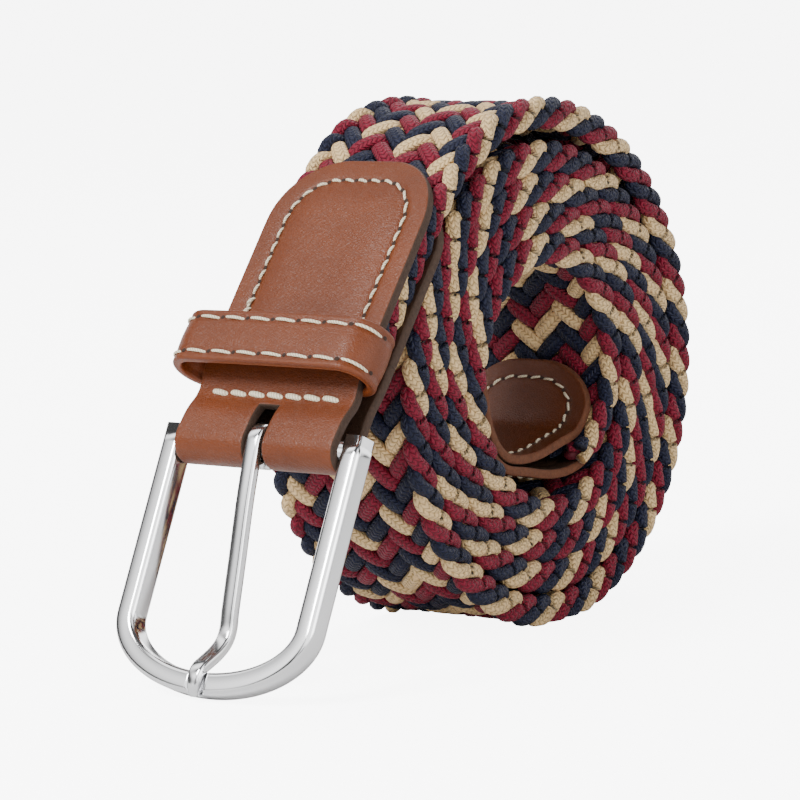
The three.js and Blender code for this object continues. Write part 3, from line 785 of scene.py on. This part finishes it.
# twisted thread: slanted ridges, height = |sin| of length + turn, and painted shade darkening the colour
# between the ridges
def makeThread():
    material, tree, surface = plainMaterial("creamThread", (0.80, 0.70, 0.50), 0.6)
    uv = tree.nodes.new("ShaderNodeUVMap")
    uv.uv_map = "alongCord"
    parts = tree.nodes.new("ShaderNodeSeparateXYZ")
    tree.links.new(uv.outputs["UV"], parts.inputs[0])
    phase = mathNode(tree, "MULTIPLY_ADD", parts.outputs["Y"], 2.0, parts.outputs["X"])
    ridge = mathNode(tree, "ABSOLUTE", mathNode(tree, "SINE", mathNode(tree, "MULTIPLY", phase, math.pi)))
    addBump(tree, surface, ridge, 0.10)
    # painted shade: the colour darkens in the grooves between the ridges
    colour = mixColour(tree, mathNode(tree, "POWER", ridge, 0.5), (0.42, 0.31, 0.17), (0.92, 0.83, 0.63))
    tree.links.new(colour, surface.inputs["Base Color"])
    return material


threadMaterial = makeThread()
# painted shade: a near-black colour for the stitch holes
holeShadeMaterial, _, _ = plainMaterial("stitchHoleShade", (0.03, 0.012, 0.006), 0.9)
tanLeather = leatherMaterial("tanLeather", leather["tan"], leather["tanDark"], leather["tanEdge"],
                             leather["back"], 4.5)
keeperLeather = leatherMaterial("keeperLeather", leather["tan"], leather["tanDark"], leather["tanEdge"],
                                leather["suede"], 4.5)
tipLeather = leatherMaterial("tipLeather", leather["brown"], leather["brownDark"], leather["brownEdge"],
                             leather["back"], 4.0)

tab = {
    "half": 17.5, "corner": 13.0, "thick": 2.0, "edge": 0.5, "slotHalf": 2.1, "slotFromBar": 6.3,
    "dent": 1.2, "dentAt": 8.5, "dentWide": 3.2, "seam": 4.5, "seamEnd": 34.5, "puff": 0.5,
    "crossEnds": (-14.2, 14.4), "crossFromBar": 8.3,
}
outlineStitch = {"pitch": 2.9, "gap": 0.12, "radius": 0.29, "flat": 0.8, "rise": 0.16, "sink": 0.35,
                 "slant": 0.5, "hole": 0.40, "holeRise": 0.07, "slot": "tan_leather"}
crossStitch = {**outlineStitch, "pitch": 4.1, "radius": 0.58, "rise": 0.3, "sink": 0.1, "gap": 0.0,
               "slant": 0.5, "hole": 0.4}
backStitch = {**outlineStitch, "pitch": 2.2, "radius": 0.42, "gap": 0.02, "rise": 0.4, "slant": 1.0}


# inset outline of a strip's end, as (x, u): down one side, round the end and up the other
def endSeam(half, corner, seam, sideEnd):
    radius = corner - seam
    a = np.linspace(0.0, math.pi / 2, 14)[:, None]
    centre = half - corner
    left = np.array([-centre, corner]) + radius * np.concatenate([-np.cos(a), -np.sin(a)], 1)
    right = np.array([centre, corner]) + radius * np.concatenate([np.sin(a), -np.cos(a)], 1)
    return np.vstack([[[seam - half, sideEnd]], left, right, [[half - seam, sideEnd]]])


# the tab puffs up inside its seam, and the seam itself is pulled in
def tabPuff(x, u, d):
    fade = 1.0 - ease((u - tab["seamEnd"]) / 8.0)
    raised = tab["puff"] * ease((d - tab["seam"]) / 5.0)
    pulled = 0.22 * np.exp(-((d - tab["seam"]) / 0.7) ** 2)
    return fade * (raised - pulled)


def addTab():
    ribbon = tabRibbon()
    length = float(ribbon[0][-1])
    roll = belt["tabApart"] * math.pi
    holeStart = belt["tabFront"] - tab["slotFromBar"]
    holeEnd = belt["tabFront"] + roll + tab["slotFromBar"]
    near = np.array([0.0, 0.12, 0.3, 0.6])
    extra = np.concatenate([holeStart - near, holeEnd + near, np.linspace(holeStart, holeEnd, 34)])
    rows = rowsAlong(length, tab["corner"], 1.4, extra)
    side = np.array([2.1, 2.25, 2.45, 2.8, 3.6, 5.0, 6.8, 8.8, 10.3, 11.5, 12.2, 12.6, 13.0, 13.4, 13.9,
                     14.8, 15.8, 16.5, 16.9, 17.1, 17.25, 17.4, 17.5]) / tab["half"]
    columns = np.concatenate([-side[::-1], [0.0], side])
    size = {**tab, "length": length}
    hole = (tab["slotHalf"], holeStart, holeEnd)
    piece = leatherStrip("buckleTab", ribbon, size, rows, columns, hole, tabPuff)
    finishPiece(piece, tanLeather, "belt", "tan_leather", "buckle_tab")

    def onFront(x, u, lift):
        return ribbonPoint(ribbon, x, u, tab["thick"] / 2 - 0.15 + lift)

    def onBack(x, u, lift):
        return ribbonPoint(ribbon, x, length - u, tab["thick"] / 2 + lift)

    seam = endSeam(tab["half"], tab["corner"], tab["seam"], tab["seamEnd"])
    seamPieces("tabSeam", "belt", onFront, seam, outlineStitch)
    seamPieces("tabBackSeam", "belt", onBack, seam, outlineStitch)
    across = np.array([[x, belt["tabFront"] - tab["crossFromBar"]] for x in tab["crossEnds"]])
    seamPieces("crossSeam", "belt", onFront, across, crossStitch)
    again = np.array([[seam[0][0], tab["seamEnd"] + 0.4], [seam[0][0] + 0.2, tab["seamEnd"] - 5.6]])
    seamPieces("seamEnd", "belt", onFront, again, backStitch)


addTab()

keeper = {
    "fromBar": 15.5, "front": 9.55, "back": 0.85, "straight": 16.3, "width": 10.0, "thick": 1.7,
    "edge": 0.5, "bulge": 0.3, "seam": 3.4, "seamHalf": 22.5,
}
keeperStitch = {**outlineStitch, "pitch": 5.3, "radius": 0.31, "rise": 0.2, "gap": 0.05, "slant": 0.45}


# the keeper's loop: two straight runs joined by half circles, length t counted from the front's middle
def keeperLoop(t):
    k = keeper
    radius = (k["front"] - k["back"]) / 2
    straight, arc = k["straight"], math.pi * radius
    total = 4 * straight + 2 * arc
    t = np.mod(t, total)
    middle = (k["front"] + k["back"]) / 2
    x = np.empty_like(t)
    v = np.empty_like(t)
    nx, nv = np.zeros_like(t), np.zeros_like(t)
    bounds = np.array([straight, straight + arc, 3 * straight + arc, 3 * straight + 2 * arc])
    part = np.searchsorted(bounds, t, side="right")
    for number, (x0, sign) in {1: (straight, 1.0), 3: (-straight, -1.0)}.items():
        on = part == number
        a = (t[on] - bounds[number - 1]) / radius
        x[on] = x0 + sign * radius * np.sin(a)
        v[on] = middle + sign * radius * np.cos(a)
        nx[on], nv[on] = sign * np.sin(a), sign * np.cos(a)
    for number, sign in {0: 1.0, 2: -1.0, 4: 1.0}.items():
        on = part == number
        begin = {0: 0.0, 2: bounds[1], 4: total}[number]
        x[on] = t[on] if number == 0 else (straight - (t[on] - begin) if number == 2 else t[on] - total)
        v[on] = middle + sign * radius
        nv[on] = sign
    rise = k["bulge"] * np.clip(1 - (x / (straight + radius)) ** 2, 0, 1) * (nv > 0) * nv
    return x, v + rise, nx, nv, total


# a point over the keeper: t round the loop, w along the belt, lift above the leather's middle
def keeperPoint(t, w, lift):
    place, normal = onBelt(beltLength - keeper["fromBar"])
    along = np.array([-normal[1], normal[0]])
    x, v, nx, nv, _ = keeperLoop(np.asarray(t, float))
    out = v + nv * lift
    yz = place + normal * out[..., None] + along * np.asarray(w)[..., None]
    return toRow(x + nx * lift, yz)


def addKeeper():
    k = keeper
    total = float(keeperLoop(np.zeros(1))[4])
    t = np.linspace(0.0, total, 121)[:-1]
    half, low = k["width"] / 2, k["thick"] / 2
    flat = np.array([0.0, 0.3, 0.55, 0.75, 0.87]) * half
    corner = half - k["edge"] + k["edge"] * np.sin(np.linspace(0, math.pi / 2, 5))
    fall = k["edge"] * (1 - np.cos(np.linspace(0, math.pi / 2, 5)))
    w = np.concatenate([-corner[::-1], -flat[:0:-1], flat, corner])
    lift = low - np.concatenate([fall[::-1], np.zeros(9), fall])
    lift = lift - 0.12 * np.exp(-((abs(w) - k["seam"]) / 0.5) ** 2) + 0.15 * ease(1 - abs(w) / k["seam"])
    under = low - np.concatenate([fall[::-1], np.zeros(9), fall])
    ringW = np.concatenate([w, w[::-1]])
    ringLift = np.concatenate([lift, -under[::-1]])
    shape = (len(t), len(ringW))
    grid = keeperPoint(np.broadcast_to(t[:, None], shape), np.broadcast_to(ringW, shape),
                       np.broadcast_to(ringLift, shape))
    inset = np.broadcast_to(half - abs(ringW) + 4.5 - (half - k["seam"]), shape)
    edge = np.broadcast_to(np.clip((abs(ringW) - half + k["edge"]) / k["edge"], 0, 1), shape)
    back = np.broadcast_to((ringLift < 0.1).astype(float), shape)
    piece = gridMesh("keeperLoop", [grid], closed=True,
                     masks={"edge": [0.35 * edge], "inset": [inset], "back": [back]})
    finishPiece(piece, keeperLeather, "belt", "tan_leather", "keeper")

    def onKeeper(x, w, lift):
        return keeperPoint(x, w, k["thick"] / 2 - 0.05 + lift)

    for name, w in (("keeperTopSeam", -k["seam"]), ("keeperLowSeam", k["seam"])):
        path = np.stack([np.linspace(-k["seamHalf"], k["seamHalf"], 60), np.full(60, w)], -1)
        seamPieces(name, "belt", onKeeper, path, keeperStitch)


addKeeper()

tip = {"half": 14.5, "corner": 12.0, "thick": 1.8, "edge": 0.5, "close": 16.0, "seam": 4.0, "length": 66.0}
tipStitch = {**outlineStitch, "pitch": 3.0, "slot": "tip_leather"}


def addTip():
    side = np.array([1.5, 3.5, 5.5, 7.5, 8.8, 9.7, 10.2, 10.5, 10.9, 11.6, 12.6, 13.5, 13.9, 14.1, 14.25,
                     14.4, 14.5]) / tip["half"]
    columns = np.concatenate([-side[::-1], [0.0], side])
    rows = rowsAlong(tip["length"], tip["corner"], 1.3)
    for name, node, sign in (("tipInner", "tip_inner", -1.0), ("tipOuter", "tip_outer", 1.0)):
        ribbon = tipRibbon(sign)
        piece = leatherStrip(name, ribbon, tip, rows, columns,
                             puff=lambda x, u, d: 0.25 * ease((d - tip["seam"]) / 4.0)
                             - 0.15 * np.exp(-((d - tip["seam"]) / 0.6) ** 2))
        finishPiece(piece, tipLeather, "belt", "tip_leather", node)

        def onTip(x, u, lift, ribbon=ribbon):
            return ribbonPoint(ribbon, x, u, tip["thick"] / 2 - 0.08 + lift)

        half = endSeam(tip["half"], tip["corner"], tip["seam"], tip["length"] / 2)
        mirrored = np.stack([half[::-1, 0], tip["length"] - half[::-1, 1]], -1)
        seamPieces(name + "Seam", "belt", onTip, np.vstack([half, mirrored[1:]]), tipStitch)


addTip()

metal = {
    "tilt": 62.7, "halfWidth": 19.8, "rodWidth": 4.0, "rodDepth": 4.5, "round": 1.0, "reach": 44.5,
    "arc": 13.0, "past": 2.5, "notchDepth": 1.2, "notchHalf": 1.5, "notchRamp": 0.4, "bar": 1.75,
    "clear": 0.3,
    "prongWidth": 3.0, "prongThick": 2.0, "prongRound": 0.6, "curl": 262.0, "sag": 2.5,
}


# polished nickel with faint smudges in its roughness
def makeNickel():
    material, tree, surface = plainMaterial("brightNickel", (0.80, 0.80, 0.81), 0.16, 1.0)
    smudge = noiseNode(tree, objectPlace(tree), 90.0, 4.0)
    tree.links.new(mathNode(tree, "MULTIPLY_ADD", smudge, 0.16, 0.06), surface.inputs["Roughness"])
    return material


# buckle places (x, y, z) with the bar as origin turn by the tilt about x and move to the bar
def buckleToRow(points):
    tilt = math.radians(metal["tilt"])
    y = points[..., 1] * math.cos(tilt) - points[..., 2] * math.sin(tilt) + belt["bar"][0]
    z = points[..., 1] * math.sin(tilt) + points[..., 2] * math.cos(tilt) + belt["bar"][1]
    return toRow(points[..., 0], np.stack([y, z], -1))


# a rounded rectangle as (across, up), counter-clockwise
def roundedSection(width, depth, radius, steps=5):
    a = np.linspace(0.0, math.pi / 2, steps)
    corners = []
    for k, (sx, sy) in enumerate(((1, 1), (-1, 1), (-1, -1), (1, -1))):
        angle = a + k * math.pi / 2
        corners.append(np.stack([sx * (width / 2 - radius) + radius * np.cos(angle),
                                 sy * (depth / 2 - radius) + radius * np.sin(angle)], -1))
    return np.concatenate(corners)


def addFrame(nickel):
    m = metal
    straightEnd = -(m["reach"] - m["arc"])
    arcHeight = m["arc"] - m["rodWidth"] / 2
    capY = m["past"] - m["round"] * (1 - np.sin(np.linspace(math.pi / 2, 0.15, 5)))
    capScale = (np.sin(np.linspace(0.15, math.pi / 2, 5)) * 0.25 + 0.75)[::-1]
    legY = np.linspace(m["past"] - m["round"], straightEnd, 14)[:-1]
    y = np.concatenate([capY[::-1], legY[1:]])
    scale = np.concatenate([capScale[::-1], np.ones(len(legY) - 1)])
    a = math.pi + np.linspace(0.0, math.pi, 220)
    arcX, arcY = m["halfWidth"] * np.cos(a), straightEnd + arcHeight * np.sin(a)
    outX, outY = np.cos(a) / m["halfWidth"], np.sin(a) / arcHeight
    size = np.hypot(outX, outY)
    x = np.concatenate([np.full(len(y), -m["halfWidth"]), arcX, np.full(len(y), m["halfWidth"])])
    ox = np.concatenate([np.full(len(y), -1.0), outX / size, np.full(len(y), 1.0)])
    oy = np.concatenate([np.zeros(len(y)), outY / size, np.zeros(len(y))])
    scale = np.concatenate([scale, np.ones(len(a)), scale[::-1]])
    y = np.concatenate([y, arcY, y[::-1]])
    section = roundedSection(m["rodWidth"], m["rodDepth"], m["round"])
    across, up = section[None, :, 0] * scale[:, None], section[None, :, 1] * scale[:, None]
    points = np.stack([x[:, None] + ox[:, None] * across, y[:, None] + oy[:, None] * across, up], -1)
    aside = ease((abs(points[..., 0]) - m["notchHalf"]) / m["notchRamp"])
    inNotch = (1 - aside) * (points[..., 1] < straightEnd)
    roof = m["rodDepth"] / 2 - m["notchDepth"] * inNotch
    points[..., 2] = np.minimum(points[..., 2], roof)
    rod = buckleToRow(points)
    turn = np.arange(24) / 24 * 2 * math.pi
    barX = np.array([-m["halfWidth"], m["halfWidth"]])
    barRings = (barX[:, None], m["bar"] * np.cos(turn), m["bar"] * np.sin(turn))
    bar = np.stack([np.broadcast_to(part, (2, len(turn))) for part in barRings], -1)
    piece = gridMesh("buckleRod", [rod, buckleToRow(bar)])
    finishPiece(piece, nickel, "frame", "bright_metal", "buckle_frame")


# the prong: curled round the bar, sagging behind the frame's front, bent forward into the notch
def addProng(nickel):
    m = metal
    curl = m["bar"] + m["clear"] + m["prongThick"] / 2
    inNotch = m["rodDepth"] / 2 - m["notchDepth"] + m["clear"] + m["prongThick"] / 2
    a = np.radians(m["curl"] * (1 - np.arange(21) / 20))
    rows = [(curl * math.sin(v), curl * math.cos(v), 1.0, 1.0) for v in a]
    drop = curl + m["sag"]
    shank = ((0.20, curl - 0.20 * drop, 1, 1), (0.45, curl - 0.58 * drop, 1, 1),
             (0.65, curl - 0.88 * drop, 1, 1), (0.72, -m["sag"], 1, 1),
             (0.77, -0.9 * m["sag"], 1, 1), (0.82, -0.4 * m["sag"], 1, 1),
             (0.87, 0.4 * inNotch, 1, 1), (0.90, 0.9 * inNotch, 1, 0.95), (0.93, 1.08 * inNotch, 0.9, 0.9),
             (0.97, inNotch, 0.75, 0.75), (1.01, inNotch - 0.3 * m["prongThick"], 0.4, 0.4))
    rows += [(-reach * m["reach"], z, width, thick) for reach, z, width, thick in shank]
    path = smoothThrough(np.array(rows), 4)
    heading = np.gradient(path[:, :2], axis=0)
    heading /= np.linalg.norm(heading, axis=1, keepdims=True)
    section = roundedSection(m["prongWidth"], m["prongThick"], m["prongRound"], 4)
    wide = section[None, :, 0] * path[:, 2:3]
    tall = section[None, :, 1] * path[:, 3:4]
    points = np.stack([wide, path[:, 0:1] + heading[:, 1:2] * tall,
                       path[:, 1:2] - heading[:, 0:1] * tall], -1)
    piece = gridMesh("prongPiece", [buckleToRow(points)])
    finishPiece(piece, nickel, "tongue", "bright_metal", "prong")


nickel = makeNickel()
addFrame(nickel)
addProng(nickel)
